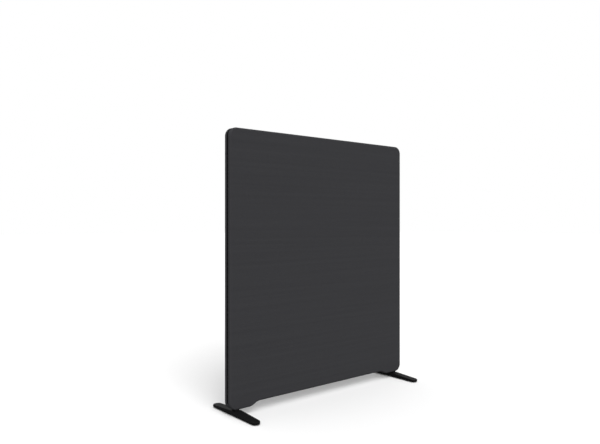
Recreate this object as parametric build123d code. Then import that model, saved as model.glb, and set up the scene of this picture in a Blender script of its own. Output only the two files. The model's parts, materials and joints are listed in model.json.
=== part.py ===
"""Free-standing acoustic divider screen.

A fabric-covered panel with rounded corners stands on two flat bar feet. The
bottom edge rises in an S-curve between the feet. Inside are a pine frame with
loose tenons, two sound-absorbing boards and a tray of wadding on each side. The
cover comes off by a zip that runs round both sides and the top.

Millimetres. X runs along the width, with the right-hand side at +X seen from
the front. The front faces -Y and +Z is up. The origin is on the floor, under
the middle of the panel.
"""

import os
from math import atan2, cos, degrees, radians, sin, sqrt

from build123d import *

os.makedirs("parts", exist_ok=True)

# Panel outline
screen_width = 1200
screen_height = 1360
panel_thickness = 50
corner_radius = 40
low_edge_height = 33
arch_rise = 19
curve_start = 111
curve_run = 65

# Cover
cover_thickness = 1.2
edge_rounding = 8
lining_chamfer = 5
soft_clearance = 0.3

# Frame
frame_thickness = 34
edge_padding = 6.5
member_width = 60
tenon_thickness = 10
tenon_width = 40
tenon_length = 50
core_clearance = 0.5

# Zip, with its depths counted inwards from the panel's edge
band_width = 13
zip_depth = 2.6
tape_thickness = 0.6
tape_reach = 11
tape_gap = 0.9
tooth_height = 1.2
tooth_width = 2.4
chain_gap = 0.5
stop_length = 3
stop_overhang = 0.4
zip_low_end = 60

# Zip slider
slider_length = 11
slider_wide = 10.4
slider_narrow = 8.4
slider_wall = 1
slider_clearance = 0.3
slider_corner = 1.2
wedge_thickness = 0.5
wedge_length = 4.5
slider_park = 12
crown_length = 6.4
crown_width = 1.6
crown_wall = 0.9
crown_height = 1.1
crown_rounding = 0.6

# Zip pull
pull_length = 24
pull_width = 6
pull_thickness = 0.8
pull_eye_width = 2.6
pull_eye_length = 6
pull_hole_radius = 1.2
pull_lift = 0.15
pull_corner = 2

# Feet
foot_length = 366
foot_width = 43
foot_setback = 47
foot_middle_top = 25.5
foot_end_top = 15.5
foot_seat = 48
foot_edge_chamfer = 1.2
pad_radius = 10
pad_thickness = 6
pad_end_setback = 33

# Foot blocks and bolts
block_width = 18
block_depth = 40
block_corner = 3
boss_width = 12
bolt_spacing = 15
bolt_radius = 3
bolt_length = 40
bolt_hole_radius = 3.3
head_radius = 5
head_height = 6
head_clearance = 0.5
socket_radius = 2.9
socket_depth = 3
head_bottom_gap = 1.4
washer_radius = 5.4
washer_thickness = 1.6
insert_radius = 4.5
insert_length = 15

# Cutting tools run past what they cut
overrun = 5

half_width = screen_width / 2
half_thickness = panel_thickness / 2
half_frame = frame_thickness / 2
raised_edge = low_edge_height + arch_rise
curve_radius = (curve_run**2 + arch_rise**2) / (4 * arch_rise)
frame_inset = cover_thickness + soft_clearance + edge_padding
frame_bottom = low_edge_height + frame_inset
frame_top = screen_height - frame_inset
stile_inner = half_width - frame_inset - member_width
foot_centre = half_width - foot_setback
bolt_places = [
    (side * foot_centre, end * bolt_spacing / 2) for side in (-1, 1) for end in (-1, 1)
]


def polar(centre, radius, angle):
    """The point at a distance and direction, in degrees, from a centre."""
    turn = radians(angle)
    return centre[0] + radius * cos(turn), centre[1] + radius * sin(turn)


def arc(centre, radius, start, end):
    """The circular arc about a centre between two directions, the short way."""
    return ThreePointArc(
        polar(centre, radius, start),
        polar(centre, radius, (start + end) / 2),
        polar(centre, radius, end),
    )


def outline(inset):
    """The panel's face, drawn as x and z, with its whole edge moved inwards."""
    curve_outer = half_width - curve_start
    curve_inner = curve_outer - curve_run
    hollow = (curve_inner, raised_edge - curve_radius)
    swell = (curve_outer, low_edge_height + curve_radius)
    lean = degrees(atan2(swell[1] - hollow[1], swell[0] - hollow[0]))
    low_corner = (half_width - corner_radius, low_edge_height + corner_radius)
    top_corner = (half_width - corner_radius, screen_height - corner_radius)
    bend = corner_radius - inset
    edges = [
        Line((0, raised_edge + inset), (curve_inner, raised_edge + inset)),
        arc(hollow, curve_radius + inset, 90, lean),
        arc(swell, curve_radius - inset, 180 + lean, 270),
        Line((curve_outer, low_edge_height + inset), (low_corner[0], low_edge_height + inset)),
        arc(low_corner, bend, 270, 360),
        Line((half_width - inset, low_corner[1]), (half_width - inset, top_corner[1])),
        arc(top_corner, bend, 0, 90),
        Line((top_corner[0], screen_height - inset), (0, screen_height - inset)),
    ]
    right = Curve() + edges
    return make_face(right + mirror(right, about=Plane.YZ))


def slab(inset, front, back):
    """The panel's outline as a slab between two depths."""
    return Pos(0, back, 0) * extrude(Plane.XZ * outline(inset), back - front)


def pillow():
    """The whole panel, with both faces' rims rounded."""
    body = slab(0, -half_thickness, half_thickness)
    return fillet(body.edges().filter_by(Plane.XZ), edge_rounding)


def lining(inset):
    """The panel moved inwards on every side, with plain sloping rims where nobody looks.

    The slopes of two linings lie as far apart as their flat faces do.
    """
    depth = half_thickness - inset
    body = slab(inset, -depth, depth)
    slope = lining_chamfer - (inset - cover_thickness) * (2 - sqrt(2))
    return chamfer(body.edges().filter_by(Plane.XZ), slope)


def ring(outer, inner, front, back):
    """A strip that follows the panel's edge between two insets and two depths."""
    return slab(outer, front, back) - slab(inner, front - overrun, back + overrun)


def cuboid(low, high):
    """A box from its lowest to its highest corner."""
    size = [top - bottom for bottom, top in zip(low, high)]
    return Pos(*low) * Box(*size, align=Align.MIN)


def peg(radius, place, bottom, top):
    """An upright round bar at a place given as x and y."""
    return Pos(*place, bottom) * Cylinder(
        radius, top - bottom, align=(Align.CENTER, Align.CENTER, Align.MIN)
    )


def front_half():
    """The space in front of the panel's middle plane."""
    return cuboid(
        (-half_width - overrun, -half_thickness - overrun, 0),
        (half_width + overrun, 0, screen_height + overrun),
    )


def below(height):
    """The space round the panel up to a height over the floor."""
    return cuboid(
        (-half_width - overrun, -half_thickness - overrun, 0),
        (half_width + overrun, half_thickness + overrun, height),
    )


def bosses(clearance):
    """The square bosses under the frame, one round each bolt, or the room that they need."""
    reach = boss_width / 2 + clearance
    return [
        cuboid((x - reach, y - reach, low_edge_height - clearance), (x + reach, y + reach, frame_bottom))
        for x, y in bolt_places
    ]


def make_front_cover():
    """Fabric shell of the front half, hemmed inwards along the zip."""
    hem_front = -band_width / 2 - cover_thickness
    shell = (pillow() - lining(cover_thickness)) & front_half()
    shell -= slab(-overrun, hem_front, overrun)
    hem = ring(0, zip_depth, hem_front, -band_width / 2)
    return shell + hem - bosses(soft_clearance)


def make_front_padding():
    """Wadding tray over the front of the frame, grooved for the zip."""
    tray = lining(cover_thickness + soft_clearance) & front_half()
    tray -= slab(frame_inset, -half_frame, overrun)
    tape_room = zip_depth + tape_thickness + soft_clearance
    slider_room = tape_room + slider_wall + soft_clearance
    wide = tape_reach + soft_clearance
    narrow = slider_wide / 2 + soft_clearance
    tray -= ring(-overrun, tape_room, -wide, overrun)
    tray -= ring(-overrun, slider_room, -narrow, overrun)
    return tray - bosses(soft_clearance)


def make_stile(side):
    """Upright of the frame, with rounded outer corners."""
    inner, outer = sorted((side * stile_inner, side * half_width))
    zone = cuboid((inner, -half_frame, 0), (outer, half_frame, screen_height))
    stile = slab(frame_inset, -half_frame, half_frame) & zone
    return stile - tenons() - [insert_blank(place) for place in bolt_places]


def rail(bottom, top):
    """Cross member between the stiles, cut to the panel's outline."""
    zone = cuboid((-stile_inner, -half_frame, bottom), (stile_inner, half_frame, top))
    return (slab(frame_inset, -half_frame, half_frame) & zone) - tenons()


bottom_rail_top = raised_edge + frame_inset + member_width
top_rail_bottom = frame_top - member_width
middle_height = (bottom_rail_top + top_rail_bottom) / 2


def tenons():
    """A loose tenon glued into both members in each of the six joints of the frame."""
    heights = [
        bottom_rail_top - member_width / 2,
        middle_height,
        top_rail_bottom + member_width / 2,
    ]
    return [
        Pos(side * stile_inner, 0, height) * Box(tenon_length, tenon_thickness, tenon_width)
        for side in (-1, 1)
        for height in heights
    ]


def make_core(bottom, top):
    """Sound-absorbing board that fills one opening of the frame."""
    return cuboid(
        (-stile_inner + core_clearance, -half_frame, bottom + core_clearance),
        (stile_inner - core_clearance, half_frame, top - core_clearance),
    )


def make_front_tape():
    """Woven zip tape of the front half, sewn under the cover's hem."""
    outer = zip_depth
    inner = zip_depth + tape_thickness
    return ring(outer, inner, -tape_reach, -tape_gap) - below(zip_low_end)


def make_front_teeth():
    """Coil teeth of the front half as one bead that follows the tape's edge."""
    outer = zip_depth - tooth_height
    bead = ring(outer, zip_depth, -chain_gap - tooth_width, -chain_gap)
    return bead - below(zip_low_end + stop_length)


def make_stops():
    """Crimped stop across both beads at each end of the zip."""
    reach = chain_gap + tooth_width + stop_overhang
    band = ring(zip_depth - tooth_height, zip_depth, -reach, reach)
    return (band & below(zip_low_end + stop_length)) - below(zip_low_end)


def make_closing_tape():
    """Strip of the cover's fabric sewn between the two hems, under and up to the zip's ends."""
    strip = ring(0, cover_thickness, -band_width / 2, band_width / 2)
    return (strip & below(zip_low_end)) - bosses(soft_clearance)


slider_height = low_edge_height + corner_radius + slider_park
plate_depth = zip_depth - tooth_height - slider_clearance - slider_wall
back_depth = zip_depth + tape_thickness + slider_clearance
pull_depth = plate_depth - pull_lift - pull_thickness / 2


def edge_cuboid(shallow, deep, half_span, low, high):
    """A box on the right-hand edge between two insets, centred on the zip."""
    return cuboid(
        (half_width - deep, -half_span, slider_height + low),
        (half_width - shallow, half_span, slider_height + high),
    )


def make_slider():
    """Zip slider: two shield-shaped plates, a wedge between them and a crown."""
    top = slider_length / 2
    shield = Polygon(
        (-slider_wide / 2, top),
        (-slider_narrow / 2, -top),
        (slider_narrow / 2, -top),
        (slider_wide / 2, top),
        align=None,
    )
    shield = fillet(shield.vertices(), slider_corner)
    deep = back_depth + slider_wall
    place = Pos(half_width - deep, 0, slider_height)
    body = place * extrude(Plane.YZ * shield, deep - plate_depth)
    beads = chain_gap + tooth_width + slider_clearance
    tooth_room = zip_depth - slider_clearance
    body -= edge_cuboid(plate_depth + slider_wall, tooth_room, beads, -top - overrun, top + overrun)
    body -= edge_cuboid(tooth_room, back_depth, slider_wide, -top - overrun, top + overrun)
    body += edge_cuboid(
        plate_depth + slider_wall, back_depth, wedge_thickness / 2, top - wedge_length, top
    )
    loop = crown_length / 2
    crown_top = plate_depth - crown_height - crown_wall
    crown = edge_cuboid(crown_top, plate_depth, crown_width / 2, -loop, loop)
    rims = crown.edges().filter_by(Axis.Y).group_by(Axis.X)[-1]
    crown = fillet(rims, crown_rounding)
    window = loop - crown_wall
    crown -= edge_cuboid(plate_depth - crown_height, plate_depth, crown_width, -window, window)
    return body + crown


def make_pull():
    """Flat tab that hangs from a round bar inside the slider's crown."""
    half = pull_width / 2
    tab = cuboid(
        (half_width - pull_depth - pull_thickness / 2, -half, slider_height - pull_length),
        (half_width - pull_depth + pull_thickness / 2, half, slider_height),
    )
    tips = tab.edges().filter_by(Axis.X).group_by(Axis.Z)[0]
    tab = fillet(tips, pull_corner)
    tab -= edge_cuboid(
        pull_depth - pull_thickness,
        pull_depth + pull_thickness,
        pull_eye_width / 2,
        -pull_eye_length,
        pull_thickness,
    )
    hole_height = slider_height - pull_length + pull_width / 2
    tab -= Pos(half_width - pull_depth, 0, hole_height) * Cylinder(
        pull_hole_radius, pull_width, rotation=(0, 90, 0)
    )
    bar = Cylinder(pull_thickness / 2, pull_width, rotation=(90, 0, 0))
    return tab + Pos(half_width - pull_depth, 0, slider_height) * bar


seat_height = pad_thickness + head_bottom_gap + head_height + washer_thickness
head_top = seat_height - washer_thickness


def pads():
    """Round rubber pads stuck under both ends of both feet."""
    reach = foot_length / 2 - pad_end_setback
    return [
        peg(pad_radius, (side * foot_centre, end * reach), 0, pad_thickness)
        for side in (-1, 1)
        for end in (-1, 1)
    ]


def make_foot(side):
    """Flat bar with round ends, thickest under the panel and thinner to its ends."""
    place = Pos(side * foot_centre, 0, pad_thickness)
    plan = SlotOverall(foot_length, foot_width, rotation=90)
    bar = place * extrude(plan, foot_middle_top - pad_thickness)
    seat = foot_seat / 2
    end = foot_length / 2
    profile = Polygon(
        (-end, pad_thickness),
        (end, pad_thickness),
        (end, foot_end_top),
        (seat, foot_middle_top),
        (-seat, foot_middle_top),
        (-end, foot_end_top),
        align=None,
    )
    wedge = extrude(Plane.YZ * profile, foot_width / 2, both=True)
    bar = bar & (Pos(side * foot_centre, 0, 0) * wedge)
    rim = [edge for edge in bar.edges() if edge.center().Z > foot_end_top - foot_edge_chamfer]
    rim = [edge for edge in rim if edge.bounding_box().size.Y > foot_width / 4]
    bar = chamfer(rim, foot_edge_chamfer)
    for at in bolt_places:
        bar -= peg(head_radius + head_clearance, at, 0, seat_height)
        bar -= peg(bolt_hole_radius, at, 0, foot_middle_top + overrun)
    return bar


def make_block(side):
    """Spacer between foot and panel, with bosses that reach the pine frame."""
    block = cuboid(
        (-block_width / 2, -block_depth / 2, foot_middle_top),
        (block_width / 2, block_depth / 2, low_edge_height),
    )
    block = fillet(block.edges().filter_by(Axis.Z), block_corner)
    block = Pos(side * foot_centre, 0, 0) * block
    block += [boss for boss in bosses(0) if boss.center().X * side > 0]
    return block - [peg(bolt_hole_radius, at, 0, frame_bottom + overrun) for at in bolt_places]


def insert_blank(place):
    """The space that a threaded insert takes up in the wood."""
    return peg(insert_radius, place, frame_bottom, frame_bottom + insert_length)


def make_insert(place):
    """Threaded insert that takes one foot bolt."""
    top = frame_bottom + insert_length
    return insert_blank(place) - peg(bolt_radius, place, frame_bottom - overrun, top + overrun)


def make_bolt(place):
    """Socket-head bolt from the foot's underside up into its insert."""
    head = peg(head_radius, place, head_top - head_height, head_top)
    shank = peg(bolt_radius, place, head_top, head_top + bolt_length)
    bottom = head_top - head_height
    socket = Pos(*place, bottom) * extrude(RegularPolygon(socket_radius, 6), socket_depth)
    return head + shank - socket


def make_washer(place):
    """Flat washer between a bolt's head and the foot."""
    disc = peg(washer_radius, place, head_top, seat_height)
    return disc - peg(bolt_hole_radius, place, 0, frame_bottom)


def to_back(shape):
    """The rear half's twin of a front-half piece."""
    return mirror(shape, about=Plane.XZ)


def write(name, pieces):
    """One file for a piece, or for a group of like pieces."""
    pieces = pieces if isinstance(pieces, list) else [pieces]
    solids = [solid for piece in pieces for solid in piece.solids()]
    shape = solids[0] if len(solids) == 1 else Compound(solids)
    export_step(shape, f"parts/{name}.step")


front_cover = make_front_cover()
front_padding = make_front_padding()
front_tape = make_front_tape()
front_teeth = make_front_teeth()

write("front_cover", front_cover)
write("rear_cover", to_back(front_cover))
write("front_padding", front_padding)
write("rear_padding", to_back(front_padding))
write("left_stile", make_stile(-1))
write("right_stile", make_stile(1))
write("bottom_rail", rail(0, bottom_rail_top))
write("middle_rail", rail(middle_height - member_width / 2, middle_height + member_width / 2))
write("top_rail", rail(top_rail_bottom, screen_height))
write("frame_tenons", tenons())
write("core_lower", make_core(bottom_rail_top, middle_height - member_width / 2))
write("core_upper", make_core(middle_height + member_width / 2, top_rail_bottom))
write("front_zip_tape", front_tape)
write("rear_zip_tape", to_back(front_tape))
write("front_zip_teeth", front_teeth)
write("rear_zip_teeth", to_back(front_teeth))
write("zip_stops", make_stops())
write("closing_tape", make_closing_tape())
write("zip_slider", make_slider())
write("zip_pull", make_pull())
for name, side in (("left", -1), ("right", 1)):
    write(f"{name}_foot", make_foot(side))
    write(f"{name}_foot_block", make_block(side))
write("foot_bolts", [make_bolt(place) for place in bolt_places])
write("foot_washers", [make_washer(place) for place in bolt_places])
write("threaded_inserts", [make_insert(place) for place in bolt_places])
write("foot_pads", pads())
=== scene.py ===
import json
import math

import bpy
import numpy as np
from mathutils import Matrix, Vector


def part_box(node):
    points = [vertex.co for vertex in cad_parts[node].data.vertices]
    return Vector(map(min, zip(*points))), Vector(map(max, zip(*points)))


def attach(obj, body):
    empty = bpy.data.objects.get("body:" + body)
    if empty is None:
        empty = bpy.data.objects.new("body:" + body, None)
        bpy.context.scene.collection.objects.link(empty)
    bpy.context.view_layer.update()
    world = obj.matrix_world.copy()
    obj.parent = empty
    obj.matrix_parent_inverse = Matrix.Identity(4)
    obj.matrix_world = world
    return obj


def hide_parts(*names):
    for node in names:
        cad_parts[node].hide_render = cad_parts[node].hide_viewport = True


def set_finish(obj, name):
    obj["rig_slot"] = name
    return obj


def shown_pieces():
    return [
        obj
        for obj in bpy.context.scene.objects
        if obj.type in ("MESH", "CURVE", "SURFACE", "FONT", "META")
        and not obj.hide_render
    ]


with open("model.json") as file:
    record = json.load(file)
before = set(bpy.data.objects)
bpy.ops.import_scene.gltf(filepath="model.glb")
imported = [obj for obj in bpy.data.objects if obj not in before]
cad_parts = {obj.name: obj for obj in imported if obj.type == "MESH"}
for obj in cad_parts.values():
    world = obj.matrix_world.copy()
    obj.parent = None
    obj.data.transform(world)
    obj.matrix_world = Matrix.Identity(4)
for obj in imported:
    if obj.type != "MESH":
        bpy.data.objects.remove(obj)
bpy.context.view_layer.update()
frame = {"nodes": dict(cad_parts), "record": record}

# The free-standing acoustic screen in its finished materials. Metres: X runs
# along the width, the front faces -Y, Z is up from the floor.

nodes = frame["nodes"]

# What the frame gives
cover_low, cover_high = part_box("front_cover")
tape_low, tape_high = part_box("front_zip_tape")
teeth_low, teeth_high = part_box("front_zip_teeth")
wadding_low, wadding_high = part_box("front_padding")
pine_low, pine_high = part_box("top_rail")
strip_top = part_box("closing_tape")[1].z
stop_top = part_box("zip_stops")[1].z

# Panel outline
HALF_WIDTH = cover_high.x
TOP = cover_high.z
LOW_EDGE = cover_low.z
HALF_THICK = -cover_low.y
CORNER = 0.040
ARCH_RISE = 0.019
CURVE_START = 0.111
CURVE_RUN = 0.065
CENTRE = (0.0, (TOP + LOW_EDGE) / 2)

# Cover
CLOTH = 0.0012
ROUNDING = 0.008
HEM_ROLL = 0.0016
HEM_EDGE = 0.0065
CROWN = 0.0009
CROWN_REACH = 0.09
FACE_START = 0.0096
FIELD_INSET = 0.030
STITCH_PITCH = 0.0036
STITCH_LENGTH = 0.0026
STITCH_THICK = 0.0007
STITCH_DEPTH = 0.0108
SEAM_DRAW = 0.0004
SEAM_REACH = 0.0011

# Zip, with depths counted inwards from the panel's edge
TAPE_DEPTH = HALF_WIDTH - tape_high.x
TAPE_THICK = 0.0006
TAPE_REACH = -tape_low.y
TAPE_GAP = -tape_high.y
TOOTH_PITCH = 0.0021
TOOTH_LENGTH = 0.0014
TOOTH_HEIGHT = teeth_high.x - tape_high.x
TOOTH_OUTER = -teeth_low.y
TOOTH_INNER = 0.0004
CHANNEL_GAP = 0.0004

# How finely the outline and the cross-sections are divided
CLOTH_STEP = 0.012
BAND_STEP = 0.004
FINE_STEP = 0.002
ARC_STEP = math.radians(3)
LEAST_STEPS = 3
FIELD_RINGS = 26
FLAT_POINTS = 7
RIM_POINTS = 13
WALL_POINTS = 12
ROLL_POINTS = 7
TRAY_RIM_POINTS = 9
BEAD_SIDES = 6
BEAD_RINGS = 6
BEAD_END = 0.96

# Weave, its threads' spacing and how their shade runs
YARN_PITCH = 0.0011
YARN_RELIEF = 0.0003
TAPE_PITCH = 0.0007
TAPE_RELIEF = 0.00015
ROUND_POWER = 0.5
DIP_SHARE = 0.4
LANE_JUMP = 17.3
FLECK_RUN = 5.0

# Cover fabric, what each thing adds to its tone
# Share of the weave's height in the tone: painted shade, darker in the crevices between threads
CREVICE_SHADE_SHARE = 0.2
FLECK_SHARE = 0.9
STREAK_SHARE = 0.2
TONE_SHIFT = -0.2
STREAK_STRETCH = (0.9, 60, 1)

# Zip tape and sewing thread
TAPE_YARN_SHARE = 0.6
DUST_SCALE = 220.0
TWIST_SCALE = 900.0
TWIST_RELIEF = 0.0001
CLOUD_SCALE = 160.0

# Mottled finishes, how fine their grain is and how far their gloss strays
GRAIN_FINENESS = 9
GLOSS_SPREAD = 0.1

# Timber, wadding and board
RING_STRETCH = (0.08, 1, 1)
RING_WANDER = 6.0
RING_SHARE = 0.6
GRAIN_STRETCH = (6, 500, 500)
GRAIN_RELIEF = 0.0002
FIBRE_DRAWN = 6
FIBRE_RELIEF = 0.0008

# Tones of the finishes, darkest and lightest
FABRIC = (0.0305, 0.0305, 0.0336), (0.0548, 0.0548, 0.0588)
WEBBING = (0.0015, 0.0015, 0.0017), (0.004, 0.004, 0.0044)
THREAD = (0.03, 0.03, 0.033), (0.075, 0.075, 0.08)
NYLON = (0.0015, 0.0015, 0.0017), (0.004, 0.004, 0.0044)
BLACK_METAL = (0.006, 0.006, 0.0065), (0.0105, 0.0105, 0.011)
PAINT = (0.003, 0.003, 0.0032), (0.005, 0.005, 0.0054)
RUBBER = (0.014, 0.014, 0.014), (0.026, 0.026, 0.026)
ZINC = (0.42, 0.43, 0.44), (0.6, 0.61, 0.62)
BRASS = (0.6, 0.42, 0.16), (0.74, 0.55, 0.26)
PINE = (0.55, 0.37, 0.19), (0.72, 0.53, 0.32)
BEECH = (0.5, 0.32, 0.19), (0.62, 0.44, 0.3)
WADDING = (0.7, 0.7, 0.68), (0.85, 0.85, 0.83)
FELT = (0.3, 0.3, 0.28), (0.52, 0.52, 0.5)

# Where a finish goes from its darkest to its lightest tone
WIDE = (0.2, 0.8)
NARROW = (0.3, 0.7)

# Camera, set to the photograph's viewing angle
CAMERA_PLACE = (-2.0822, -2.3156, 0.9156)
CAMERA_YAW = math.radians(-39.74)
LENS_MM = 35
SENSOR_MM = 36
FARTHEST_SEEN = 100

# Studio
FLOOR_REACH = 40.0
FLOOR_SEEN = 0.927
FLOOR_BOUNCE = 0.3
SKY_LIGHT = 0.5
KEY_LIGHT = 2.4
KEY_SOFTNESS = math.radians(45)
KEY_DIRECTION = (0.33, 0.64, -0.69)
TOP_LIGHT = 0.55
TOP_SOFTNESS = math.radians(60)
TOP_DIRECTION = (0, 0, -1)


# Outline


def stretch_line(start, end, normal, step):
    """Evenly spaced points on a straight stretch without its last one, and its inward normal."""
    start, end = np.array(start), np.array(end)
    count = max(LEAST_STEPS, math.ceil(np.linalg.norm(end - start) / step))
    share = np.arange(count)[:, None] / count
    points = start + (end - start) * share
    return points, np.tile(normal, (count, 1))


def stretch_arc(centre, radius, start, end, inward):
    """Points on an arc without its last one: centre + radius * (cos, sin) of the angle.

    The inward normal is the radial direction times inward, which is 1 or -1.
    """
    count = max(LEAST_STEPS, math.ceil(abs(end - start) / ARC_STEP))
    angle = start + (end - start) * np.arange(count) / count
    radial = np.stack([np.cos(angle), np.sin(angle)], axis=1)
    return np.array(centre) + radius * radial, radial * inward


def outline(step):
    """The panel's outline from the middle of its bottom round the right side and back.

    Straight lines joined by tangent arcs, as x and z, each with its inward normal.
    The left half is the right half mirrored in x and run backwards.
    """
    radius = (CURVE_RUN**2 + ARCH_RISE**2) / (4 * ARCH_RISE)
    outer = HALF_WIDTH - CURVE_START
    inner = outer - CURVE_RUN
    raised = LOW_EDGE + ARCH_RISE
    lean = math.atan2(2 * radius - ARCH_RISE, CURVE_RUN)
    bend = HALF_WIDTH - CORNER
    quarter = math.pi / 2
    right = [
        stretch_line((0, raised), (inner, raised), (0, 1), step),
        stretch_arc((inner, raised - radius), radius, quarter, lean, 1),
        stretch_arc((outer, LOW_EDGE + radius), radius, math.pi + lean, 3 * quarter, -1),
        stretch_line((outer, LOW_EDGE), (bend, LOW_EDGE), (0, 1), step),
        stretch_arc((bend, LOW_EDGE + CORNER), CORNER, -quarter, 0, -1),
        stretch_line((HALF_WIDTH, LOW_EDGE + CORNER), (HALF_WIDTH, TOP - CORNER), (-1, 0), step),
        stretch_arc((bend, TOP - CORNER), CORNER, 0, quarter, -1),
        stretch_line((bend, TOP), (0, TOP), (0, -1), step),
    ]
    points = np.concatenate([stretch[0] for stretch in right])
    normals = np.concatenate([stretch[1] for stretch in right])
    mirror = np.array([-1, 1])
    top_middle = np.array([[0, TOP]])
    points = np.concatenate([points, top_middle, points[:0:-1] * mirror])
    normals = np.concatenate([normals, [[0, -1]], normals[:0:-1] * mirror])
    return points, normals


def along(distance):
    """Points and inward normals at given distances along the outline."""
    points, normals = outline(FINE_STEP)
    points = np.concatenate([points, points[:1]])
    normals = np.concatenate([normals, normals[:1]])
    run = np.concatenate([[0], np.cumsum(np.linalg.norm(np.diff(points, axis=0), axis=1))])
    distance = np.asarray(distance) % run[-1]
    place = np.stack([np.interp(distance, run, points[:, i]) for i in (0, 1)], axis=1)
    inward = np.stack([np.interp(distance, run, normals[:, i]) for i in (0, 1)], axis=1)
    return place, inward / np.linalg.norm(inward, axis=1, keepdims=True)


def outline_length():
    """The way once round the outline."""
    points, _ = outline(FINE_STEP)
    return np.linalg.norm(points - np.roll(points, 1, axis=0), axis=1).sum()


def run_at_height(height):
    """Distance along the outline at which its right side reaches a height."""
    points, _ = outline(FINE_STEP)
    run = np.concatenate([[0], np.cumsum(np.linalg.norm(np.diff(points, axis=0), axis=1))])
    side = (points[:, 0] > HALF_WIDTH - CORNER) & (points[:, 1] < TOP - CORNER)
    return float(np.interp(height, points[side, 1], run[side]))


# Meshes


def new_piece(name, points, faces, body, slot, smooth=True):
    """A mesh object at the origin that rides a body and takes a record slot's finish."""
    mesh = bpy.data.meshes.new(name)
    mesh.from_pydata(points.reshape(-1, 3).tolist(), [], faces)
    mesh.update()
    mesh.polygons.foreach_set("use_smooth", np.full(len(mesh.polygons), smooth))
    piece = bpy.data.objects.new(name, mesh)
    bpy.context.scene.collection.objects.link(piece)
    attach(piece, body)
    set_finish(piece, slot)
    return piece


def grid_faces(rows, columns, rows_closed=False, columns_closed=False):
    """Quads between neighbouring points of a grid whose points are numbered row by row."""
    i = np.arange(rows if rows_closed else rows - 1)[:, None]
    j = np.arange(columns if columns_closed else columns - 1)[None, :]
    next_i, next_j = (i + 1) % rows, (j + 1) % columns
    corners = [(i, j), (next_i, j), (next_i, next_j), (i, next_j)]
    quads = np.broadcast_arrays(*[row * columns + column for row, column in corners])
    return np.stack(quads, axis=-1).reshape(-1, 4).tolist()


def fan_faces(rows, columns, column, hub):
    """Triangles from a hub point to one column of a grid whose rows close in a ring."""
    rim = np.arange(rows) * columns + column
    return np.stack([np.full(rows, hub), np.roll(rim, -1), rim], axis=1).tolist()


def outwards(faces, side):
    """Faces wound so that they point out of the panel, on its rear or its front side."""
    return [face[::-1] for face in faces] if side < 0 else faces


def unroll(mesh, flat):
    """Stores a flat position for each point as the mesh's UV map, in metres."""
    corner = np.zeros(len(mesh.loops), np.int32)
    mesh.loops.foreach_get("vertex_index", corner)
    layer = mesh.uv_layers.new(name="flat")
    layer.data.foreach_set("uv", flat.reshape(-1, 2)[corner].astype(np.float32).ravel())


# Cover and wadding


def arc_profile(centre, radius, start, end, count):
    """Points (inset, depth) on an arc of the cross-section, angles in degrees."""
    angle = np.radians(np.linspace(start, end, count))
    return np.array(centre) + radius * np.stack([np.cos(angle), np.sin(angle)], axis=1)


def crown_at(inset):
    """How far the cloth stands out at a distance from the rim: a quarter sine that levels off."""
    share = np.clip((inset - ROUNDING) / CROWN_REACH, 0, 1)
    return CROWN * np.sin(share * math.pi / 2)


def cloth_section():
    """Cross-section of a cover from its face round the rim and into the zip's channel.

    Points are (inset from the edge, depth from the panel's middle). A quarter circle
    joins the face to the side, and a smaller one rolls the hem down to the zip tape.
    Along the seam the side is drawn in by a bell curve.
    """
    inset = np.linspace(FIELD_INSET, FACE_START, FLAT_POINTS)
    flat = np.stack([inset, HALF_THICK + crown_at(inset)], axis=1)
    rim_centre = (ROUNDING, HALF_THICK - ROUNDING)
    rim = arc_profile(rim_centre, ROUNDING, 90, 180, RIM_POINTS)
    hem_centre = (HEM_ROLL, HEM_EDGE + HEM_ROLL)
    depth = np.linspace(rim_centre[1], hem_centre[1], WALL_POINTS)[1:-1]
    seam = SEAM_DRAW * np.exp(-(((depth - STITCH_DEPTH) / SEAM_REACH) ** 2))
    wall = np.stack([seam, depth], axis=1)
    roll = arc_profile(hem_centre, HEM_ROLL, 180, 270, ROLL_POINTS)
    foot = [(TAPE_DEPTH - CLOTH / 2, HEM_EDGE), (TAPE_DEPTH, HEM_EDGE + CLOTH / 2)]
    return np.concatenate([flat, rim, wall, roll, foot])


def carry(points, normals, section):
    """A cross-section of (inset, depth) points carried along a line with inward normals.

    Each point of the grid is the line's point plus its normal times the inset, at
    the section's depth.
    """
    flat = points[:, None] + normals[:, None] * section[None, :, :1]
    depth = np.broadcast_to(section[:, 1], flat.shape[:2])
    return np.stack([flat[..., 0], depth, flat[..., 1]], axis=-1)


def panel_grid(section, side):
    """The outline carried inwards and in depth along a cross-section.

    Rings further in than the section shrink evenly towards the panel's middle and
    follow the crown. Returns the grid of points, row by row along the outline, and
    the same grid unrolled flat.
    """
    points, normals = outline(CLOTH_STEP)
    inset, depth = section[:, 0], section[:, 1]
    flat = points[:, None] + normals[:, None] * inset[None, :, None]
    step = np.concatenate([[0], np.cumsum(np.linalg.norm(np.diff(section, axis=0), axis=1))])
    unrolled = points[:, None] + normals[:, None] * (inset[0] - step)[None, :, None]
    share = np.linspace(0, 1, FIELD_RINGS, endpoint=False)[1:]
    spoke = flat[:, :1] - CENTRE
    field = CENTRE + spoke * share[None, :, None]
    from_rim = np.linalg.norm(spoke, axis=-1) * (1 - share)[None, :] + inset[0]
    field_depth = depth[0] + crown_at(from_rim) - crown_at(inset[0])
    section_depth = np.broadcast_to(depth, flat.shape[:2])
    flat_all = np.concatenate([field, flat], axis=1)
    depth_all = np.concatenate([field_depth, section_depth], axis=1)
    grid = np.stack([flat_all[..., 0], side * depth_all, flat_all[..., 1]], axis=-1)
    return grid, np.concatenate([field, unrolled], axis=1)


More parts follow.
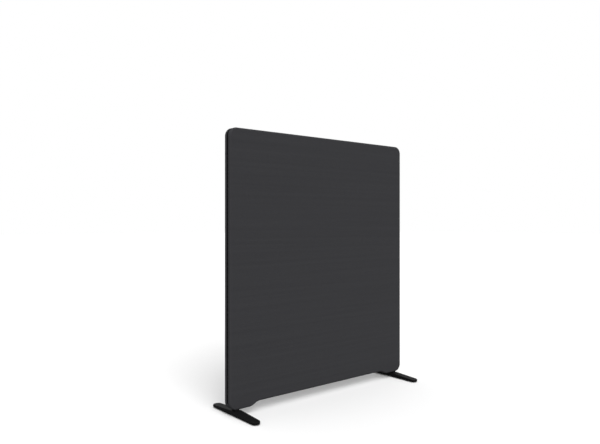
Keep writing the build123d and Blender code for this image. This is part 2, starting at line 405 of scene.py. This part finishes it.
def make_cover(name, node, side):
    """One half of the stretched fabric cover, with its rounded rim and rolled hem.

    Cut flat, it reaches past the panel on every side by the way from its rim into
    the zip.
    """
    section = cloth_section()
    grid, flat = panel_grid(section, side)
    rows, columns = grid.shape[:2]
    middle = [[CENTRE[0], side * (HALF_THICK + CROWN), CENTRE[1]]]
    points = np.concatenate([grid.reshape(-1, 3), middle])
    faces = grid_faces(rows, columns, rows_closed=True)
    faces += fan_faces(rows, columns, 0, rows * columns)
    piece = new_piece(name, points, outwards(faces, side), "screen", "cover_fabric")
    unroll(piece.data, np.concatenate([flat.reshape(-1, 2), [CENTRE]]))
    shell = piece.modifiers.new("cloth", "SOLIDIFY")
    shell.thickness = CLOTH
    shell.offset = -1
    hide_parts(node)


def wadding_section():
    """Cross-section of a wadding tray, as (inset from the edge, depth from the middle).

    Its padded face ends in a rounded rim. The side steps in for the zip's channel,
    and the inside lies flat against the frame.
    """
    face = -wadding_low.y
    side_inset = HALF_WIDTH - wadding_high.x
    frame_inset = TOP - pine_high.z
    frame_face = -pine_low.y
    bend = ROUNDING - side_inset
    shoulder = TAPE_REACH + CLOTH
    channel = TAPE_DEPTH + TAPE_THICK + CHANNEL_GAP
    slider_room = 2 * TAPE_DEPTH
    rim = arc_profile((side_inset + bend, face - bend), bend, 90, 180, TRAY_RIM_POINTS)
    zip_side = [
        (side_inset, shoulder),
        (channel, shoulder),
        (channel, HEM_EDGE),
        (slider_room, HEM_EDGE),
        (slider_room, 0),
    ]
    frame_side = [(frame_inset, 0), (frame_inset, frame_face), (FIELD_INSET, frame_face)]
    return np.concatenate([[(FIELD_INSET, face)], rim, zip_side, frame_side])


def make_wadding(name, node, side):
    """Closed tray of wadding: its section carried along the outline, with both faces filled."""
    section = wadding_section()
    grid = carry(*outline(CLOTH_STEP), section * (1, side))
    rows, columns = grid.shape[:2]
    last = columns - 1
    middles = [[CENTRE[0], side * section[end, 1], CENTRE[1]] for end in (0, last)]
    hub = rows * columns
    faces = grid_faces(rows, columns, rows_closed=True)
    faces += fan_faces(rows, columns, 0, hub)
    faces += [face[::-1] for face in fan_faces(rows, columns, last, hub + 1)]
    points = np.concatenate([grid.reshape(-1, 3), middles])
    piece = new_piece(name, points, outwards(faces, side), "screen", "wadding", smooth=False)
    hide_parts(node)


# Zip, stitches and closing strip


def band(name, node, start, end, section, slot):
    """A closed flat strip carried along the outline, from (inset, depth) corners in order."""
    distance = np.linspace(start, end, math.ceil((end - start) / BAND_STEP))
    section = np.array(section)
    grid = carry(*along(distance), section)
    rows, columns = grid.shape[:2]
    corners = list(range(rows * columns))
    faces = grid_faces(rows, columns, columns_closed=True)
    faces += [corners[:columns], corners[: -columns - 1 : -1]]
    piece = new_piece(name, grid, faces, "screen", slot, smooth=False)
    run = np.stack(np.broadcast_arrays(distance[:, None], section[None, :, 1]), axis=-1)
    unroll(piece.data, run)
    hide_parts(node)


def repeated(name, distances, bead, slot, inset, depth):
    """Copies of a small closed bead at many places along the outline, in one mesh.

    Its points are (along, outwards, across), laid on the tangent, the outward normal
    and the depth at each place.
    """
    shape, quads, caps = bead
    points, normals = along(distances)
    tangents = np.stack([normals[:, 1], -normals[:, 0]], axis=1)
    lengthwise, outward = shape[None, :, 0:1], shape[None, :, 1:2]
    flat = points[:, None] + normals[:, None] * (inset - outward) + tangents[:, None] * lengthwise
    across = np.broadcast_to(depth + shape[:, 2], flat.shape[:2])
    grid = np.stack([flat[..., 0], across, flat[..., 1]], axis=-1)
    starts = np.arange(len(distances))[:, None, None] * len(shape)
    faces = []
    for kind in (quads, caps):
        faces += (np.array(kind)[None] + starts).reshape(-1, len(kind[0])).tolist()
    return new_piece(name, grid, faces, "screen", slot)


def rounded_bead(length, height, width):
    """A rounded bar across the zip, as its points, its side faces and its two end faces.

    It is circles that grow and shrink from one flat end to the other, by the square
    root of one less the fourth power of the place across.
    """
    share = np.linspace(-BEAD_END, BEAD_END, BEAD_RINGS)
    size = (1 - np.abs(share) ** 4) ** 0.5
    angle = np.arange(BEAD_SIDES) * 2 * math.pi / BEAD_SIDES
    across = np.broadcast_to(share[:, None] * width / 2, (BEAD_RINGS, BEAD_SIDES))
    run = size[:, None] * np.cos(angle) * length / 2
    rise = size[:, None] * np.sin(angle) * height / 2
    shape = np.stack([run, rise, across], axis=-1).reshape(-1, 3)
    quads = [face[::-1] for face in grid_faces(BEAD_RINGS, BEAD_SIDES, columns_closed=True)]
    near = list(range(BEAD_SIDES))
    far = [(BEAD_RINGS - 1) * BEAD_SIDES + i for i in near]
    return shape, quads, [near[::-1], far]


def make_stitches(name, side):
    """The row of thread that holds one cover's hem, all round the rim."""
    points, quads, caps = rounded_bead(STITCH_THICK, STITCH_THICK, STITCH_LENGTH)
    turned = points * (-1, 1, 1)
    bead = (turned[:, [2, 1, 0]], quads, caps)
    places = STITCH_PITCH * np.arange(int(outline_length() / STITCH_PITCH))
    return repeated(name, places, bead, "cover_fabric", SEAM_DRAW, side * STITCH_DEPTH)


def make_tape(name, node, side, start, end):
    """One half of the zip's woven tape, under the cover's hem."""
    bottom = TAPE_DEPTH + TAPE_THICK
    section = [
        (TAPE_DEPTH, side * TAPE_GAP),
        (bottom, side * TAPE_GAP),
        (bottom, side * TAPE_REACH),
        (TAPE_DEPTH, side * TAPE_REACH),
    ]
    band(name, node, start, end, section[::side], "zip_fabric")


def make_teeth(name, node, side, start, end):
    """One row of coil turns. The rear row sits half a pitch on, so that the two mesh."""
    width = TOOTH_OUTER - TOOTH_INNER
    bead = rounded_bead(TOOTH_LENGTH, TOOTH_HEIGHT, width)
    half_pitches = 2 if side > 0 else 1
    first = start + half_pitches * TOOTH_PITCH / 2
    places = first + TOOTH_PITCH * np.arange(int((end - start) / TOOTH_PITCH) - 1)
    middle = side * (TOOTH_INNER + width / 2)
    teeth = repeated(name, places, bead, "zip_teeth", TAPE_DEPTH - TOOTH_HEIGHT / 2, middle)
    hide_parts(node)


def make_closing_strip(name, node, reach):
    """Strip of the cover's fabric under the panel, from one end of the zip to the other."""
    section = [(0, -HEM_EDGE), (CLOTH, -HEM_EDGE), (CLOTH, HEM_EDGE), (0, HEM_EDGE)]
    band(name, node, -reach, reach, section, "cover_fabric")


# Nodes of the finishes


def new_material(name, roughness, specular=0.5):
    """A material with its node tree and its shader, set to a roughness and a shine."""
    material = bpy.data.materials.new(name)
    material.use_nodes = True
    tree = material.node_tree
    shader = tree.nodes["Principled BSDF"]
    shader.inputs["Roughness"].default_value = roughness
    shader.inputs["Specular IOR Level"].default_value = specular
    return material, tree, shader


def feed(tree, socket, value):
    """Gives a socket a plain value, or links it to another socket."""
    if isinstance(value, bpy.types.NodeSocket):
        tree.links.new(value, socket)
    else:
        socket.default_value = value


def add(tree, kind, settings=None, **inputs):
    """A node of a kind, with its settings, whose inputs are fed by name."""
    node = tree.nodes.new("ShaderNode" + kind)
    for key, value in (settings or {}).items():
        setattr(node, key, value)
    for key, value in inputs.items():
        feed(tree, node.inputs[key], value)
    return node


def maths(tree, operation, first, second=0.0):
    """One sum on two numbers, each a plain value or a socket."""
    node = add(tree, "Math", {"operation": operation})
    for socket, value in zip(node.inputs, (first, second)):
        feed(tree, socket, value)
    return node.outputs[0]


def weighted(tree, *parts, shift=0.0):
    """A shift plus each value times its share."""
    total = shift
    for value, share in parts:
        total = maths(tree, "ADD", total, maths(tree, "MULTIPLY", value, share))
    return total


def spread(tree, factor, low, high):
    """A number that goes from low to high as the factor goes from 0 to 1."""
    node = add(tree, "MapRange", Value=factor)
    node.inputs["To Min"].default_value = low
    node.inputs["To Max"].default_value = high
    return node.outputs[0]


def object_space(tree, scale=(1, 1, 1)):
    """The piece's own coordinates in metres, stretched by a scale."""
    place = add(tree, "TexCoord").outputs["Object"]
    return add(tree, "Mapping", Vector=place, Scale=scale).outputs[0]


def flat_space(tree, scale=(1, 1, 1)):
    """The piece's unrolled coordinates in metres, stretched by a scale."""
    place = add(tree, "UVMap", {"uv_map": "flat"}).outputs[0]
    return add(tree, "Mapping", Vector=place, Scale=scale).outputs[0]


def noise(tree, vector, scale=1.0, detail=3.0):
    """Cloudy noise from 0 to 1, about scale times to the metre."""
    return add(tree, "TexNoise", Vector=vector, Scale=scale, Detail=detail).outputs[0]


def colour(tree, shader, tones, factor, reach=(0.0, 1.0)):
    """Colours the finish from its darkest to its lightest tone as the factor runs over a reach."""
    ramp = add(tree, "ValToRGB", Fac=factor)
    for element, place, tone in zip(ramp.color_ramp.elements, reach, tones):
        element.position = place
        element.color = (*tone, 1)
    tree.links.new(ramp.outputs[0], shader.inputs["Base Color"])


def bump(tree, shader, height, distance, strength):
    """Roughens the finish by a height that stands for a distance."""
    made = add(tree, "Bump", Height=height, Distance=distance, Strength=strength)
    tree.links.new(made.outputs[0], shader.inputs["Normal"])


def thread_shade(tree, lane, run):
    """Noise drawn out along a thread, which jumps from one thread's lane to the next."""
    lane_place = maths(tree, "MULTIPLY", lane, LANE_JUMP)
    run_place = maths(tree, "DIVIDE", run, FLECK_RUN)
    place = add(tree, "CombineXYZ", X=lane_place, Y=run_place).outputs[0]
    return noise(tree, place, detail=2.0)


def thread_height(tree, across, along):
    """A round thread that dips at both ends: root of the sine across, times the sine along.

    The sine along counts for less than half, so that the thread's middle stays long.
    """
    crown = maths(tree, "POWER", across, ROUND_POWER)
    dip = weighted(tree, (along, DIP_SHARE), shift=1 - DIP_SHARE)
    return maths(tree, "MULTIPLY", crown, dip)


def half_wave(tree, place):
    """Sine of the way across one square, from 0 over 1 and back to 0."""
    return maths(tree, "SINE", maths(tree, "MULTIPLY", maths(tree, "FRACT", place), math.pi))


def pick(tree, first, second, factor):
    """The first value where the factor is 0, and the second where it is 1."""
    step = maths(tree, "SUBTRACT", second, first)
    return maths(tree, "ADD", first, maths(tree, "MULTIPLY", step, factor))


def weave(tree, vector, pitch):
    """Plain weave of round threads: its height from 0 to 1, and the top thread's shade.

    Squares one pitch wide show warp and weft by turns, as on a chessboard.
    """
    parts = add(tree, "SeparateXYZ", Vector=vector)
    x = maths(tree, "DIVIDE", parts.outputs[0], pitch)
    y = maths(tree, "DIVIDE", parts.outputs[1], pitch)
    column, row = maths(tree, "FLOOR", x), maths(tree, "FLOOR", y)
    square = maths(tree, "FLOORED_MODULO", maths(tree, "ADD", column, row), 2.0)
    wave_x, wave_y = half_wave(tree, x), half_wave(tree, y)
    warp, weft = thread_height(tree, wave_x, wave_y), thread_height(tree, wave_y, wave_x)
    height = pick(tree, warp, weft, square)
    return height, pick(tree, thread_shade(tree, column, y), thread_shade(tree, row, x), square)


# Finishes


def cover_finish():
    """Dark grey melange fabric: a plain weave of flecked yarns, with faint level streaks, and
    painted shade that darkens the low parts of the weave between threads.
    """
    material, tree, shader = new_material("cover_fabric", roughness=0.95, specular=0.1)
    height, yarn = weave(tree, flat_space(tree), YARN_PITCH)
    streak = noise(tree, flat_space(tree, STREAK_STRETCH), detail=2.0)
    # The height term is painted shade: the tone drops where the weave lies low between threads
    parts = (height, CREVICE_SHADE_SHARE), (yarn, FLECK_SHARE), (streak, STREAK_SHARE)
    colour(tree, shader, FABRIC, weighted(tree, *parts, shift=TONE_SHIFT), WIDE)
    bump(tree, shader, height, YARN_RELIEF, strength=0.6)
    return material


def webbing_finish():
    """Black woven tape of the zip: a fine plain weave with a little dust on it."""
    material, tree, shader = new_material("zip_fabric", roughness=0.9, specular=0.1)
    height, yarn = weave(tree, flat_space(tree), TAPE_PITCH)
    dust = noise(tree, object_space(tree), DUST_SCALE)
    blend = weighted(tree, (yarn, TAPE_YARN_SHARE), (dust, 1 - TAPE_YARN_SHARE))
    colour(tree, shader, WEBBING, blend, WIDE)
    bump(tree, shader, height, TAPE_RELIEF, strength=0.7)
    return material


def thread_finish():
    """Twisted sewing thread: slanting bands, close together, over a slow change of shade."""
    material, tree, shader = new_material("thread", roughness=0.7, specular=0.2)
    slanting = {"bands_direction": "DIAGONAL"}
    twist = add(tree, "TexWave", slanting, Vector=object_space(tree), Scale=TWIST_SCALE).outputs[1]
    cloud = noise(tree, object_space(tree), CLOUD_SCALE)
    colour(tree, shader, THREAD, weighted(tree, (twist, 0.5), (cloud, 0.5)), WIDE)
    bump(tree, shader, twist, TWIST_RELIEF, strength=0.5)
    return material


def mottled_finish(name, tones, scale, roughness, relief, metallic=0.0, specular=0.5):
    """A plain finish with slight mottling of its colour, its gloss and its surface."""
    material, tree, shader = new_material(name, roughness, specular)
    cloud = noise(tree, object_space(tree), scale, detail=4.0)
    grain = noise(tree, object_space(tree), scale * GRAIN_FINENESS, detail=2.0)
    colour(tree, shader, tones, cloud, NARROW)
    gloss = spread(tree, cloud, roughness * (1 - GLOSS_SPREAD), roughness * (1 + GLOSS_SPREAD))
    tree.links.new(gloss, shader.inputs["Roughness"])
    shader.inputs["Metallic"].default_value = metallic
    bump(tree, shader, grain, relief, strength=0.5)
    return material


def timber_finish(name, tones, ring_scale):
    """Wood grain: bands across the section, drawn out along the piece and stirred by noise."""
    material, tree, shader = new_material(name, roughness=0.65)
    bands = add(
        tree,
        "TexWave",
        {"bands_direction": "Z"},
        Vector=object_space(tree, RING_STRETCH),
        Scale=ring_scale,
        Distortion=RING_WANDER,
        Detail=3.0,
    )
    fibre = noise(tree, object_space(tree, GRAIN_STRETCH))
    blend = weighted(tree, (bands.outputs[1], RING_SHARE), (fibre, 1 - RING_SHARE))
    colour(tree, shader, tones, blend)
    bump(tree, shader, fibre, GRAIN_RELIEF, strength=0.4)
    return material


def fibrous_finish(name, tones, scale):
    """Matted fibres: stretched noise in two directions, rough and soft."""
    material, tree, shader = new_material(name, roughness=0.95)
    fine = scale * FIBRE_DRAWN
    level = noise(tree, object_space(tree, (scale, fine, fine)), detail=4.0)
    upright = noise(tree, object_space(tree, (fine, fine, scale)), detail=4.0)
    blend = weighted(tree, (level, 0.5), (upright, 0.5))
    colour(tree, shader, tones, blend, NARROW)
    bump(tree, shader, blend, FIBRE_RELIEF, strength=0.6)
    return material


finishes = {
    "cover_fabric": cover_finish(),
    "zip_fabric": webbing_finish(),
    "wadding": fibrous_finish("wadding", WADDING, scale=60),
    "absorber": fibrous_finish("absorber", FELT, scale=40),
    "pine": timber_finish("pine", PINE, ring_scale=40),
    "beech": timber_finish("beech", BEECH, ring_scale=120),
    "zip_teeth": mottled_finish(
        "zip_teeth", NYLON, scale=400, roughness=0.6, relief=0.00002, specular=0.08
    ),
    "zip_metal": mottled_finish(
        "zip_metal", BLACK_METAL, scale=300, roughness=0.35, relief=0.00002, specular=0.4
    ),
    "foot_paint": mottled_finish(
        "foot_paint", PAINT, scale=90, roughness=0.65, relief=0.00003, specular=0.1
    ),
    "block_plastic": mottled_finish(
        "block_plastic", NYLON, scale=120, roughness=0.7, relief=0.00004, specular=0.2
    ),
    "zinc_steel": mottled_finish(
        "zinc_steel", ZINC, scale=200, roughness=0.35, relief=0.00002, metallic=1.0
    ),
    "insert_brass": mottled_finish(
        "insert_brass", BRASS, scale=200, roughness=0.3, relief=0.00002, metallic=1.0
    ),
    "pad_rubber": mottled_finish(
        "pad_rubber", RUBBER, scale=260, roughness=0.85, relief=0.00006
    ),
}
sewing_thread = thread_finish()


def paint(piece, finish):
    """Gives a piece one finish in place of what it had."""
    piece.data.materials.clear()
    piece.data.materials.append(finish)


# Pieces, each cover with its wadding and its half of the zip

zip_start = run_at_height(strip_top)
zip_end = outline_length() - zip_start
stop_length = run_at_height(stop_top) - zip_start

seams = []
for half, side in (("front", -1), ("rear", 1)):
    stitches = make_stitches(f"{half}_stitches", side)
    seams.append(stitches)
    make_cover(f"{half}_cover_cloth", f"{half}_cover", side)
    make_wadding(f"{half}_wadding", f"{half}_padding", side)
    make_tape(f"{half}_tape_cloth", f"{half}_zip_tape", side, zip_start, zip_end)
    teeth_start, teeth_end = zip_start + stop_length, zip_end - stop_length
    make_teeth(f"{half}_teeth", f"{half}_zip_teeth", side, teeth_start, teeth_end)
make_closing_strip("closing_strip", "closing_tape", zip_start)

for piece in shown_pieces():
    if "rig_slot" in piece:
        paint(piece, finishes[piece["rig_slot"]])
for seam in seams:
    paint(seam, sewing_thread)
for part in frame["record"]["subparts"]:
    paint(nodes[part["node"]], finishes[part["material_slot"]])


# Floor, light and camera


def make_floor():
    """A pale floor that shows white to the camera and keeps the shadow."""
    corners = np.array([[-1, -1, 0], [1, -1, 0], [1, 1, 0], [-1, 1, 0]]) * FLOOR_REACH
    mesh = bpy.data.meshes.new("floor")
    mesh.from_pydata(corners.tolist(), [], [[0, 1, 2, 3]])
    floor = bpy.data.objects.new("floor", mesh)
    bpy.context.scene.collection.objects.link(floor)
    material, tree, shader = new_material("floor", roughness=0.9, specular=0.0)
    path = add(tree, "LightPath")
    pale = spread(tree, path.outputs["Is Camera Ray"], FLOOR_BOUNCE, FLOOR_SEEN)
    tree.links.new(pale, shader.inputs["Base Color"])
    floor.data.materials.append(material)


def make_world():
    """White all round: full strength to the camera and in reflections, softer as light."""
    world = bpy.data.worlds.new("studio")
    world.use_nodes = True
    tree = world.node_tree
    background = tree.nodes["Background"]
    path = add(tree, "LightPath")
    seen = maths(tree, "MAXIMUM", path.outputs["Is Camera Ray"], path.outputs["Is Glossy Ray"])
    seen = maths(tree, "MAXIMUM", seen, path.outputs["Is Transmission Ray"])
    background.inputs["Color"].default_value = (1, 1, 1, 1)
    tree.links.new(spread(tree, seen, SKY_LIGHT, 1.0), background.inputs["Strength"])
    bpy.context.scene.world = world


def make_sun(name, direction, strength, softness):
    """A soft lamp that shines along a direction."""
    lamp = bpy.data.lights.new(name, "SUN")
    lamp.energy = strength
    lamp.angle = softness
    sun = bpy.data.objects.new(name, lamp)
    yaw = math.atan2(direction[1], direction[0]) - math.pi / 2
    slope = math.atan2(-direction[2], math.hypot(direction[0], direction[1]))
    sun.rotation_euler = (math.pi / 2 - slope, 0, yaw)
    bpy.context.scene.collection.objects.link(sun)


def make_camera():
    """The camera at the photograph's place, level, with its lens."""
    lens = bpy.data.cameras.new("camera")
    lens.lens = LENS_MM
    lens.sensor_width = SENSOR_MM
    lens.clip_end = FARTHEST_SEEN
    camera = bpy.data.objects.new("camera", lens)
    camera.location = CAMERA_PLACE
    camera.rotation_euler = (math.pi / 2, 0, CAMERA_YAW)
    bpy.context.scene.collection.objects.link(camera)
    bpy.context.scene.camera = camera


make_floor()
make_world()
make_sun("key", KEY_DIRECTION, KEY_LIGHT, KEY_SOFTNESS)
make_sun("top", TOP_DIRECTION, TOP_LIGHT, TOP_SOFTNESS)
make_camera()
bpy.context.scene.view_settings.view_transform = "Standard"
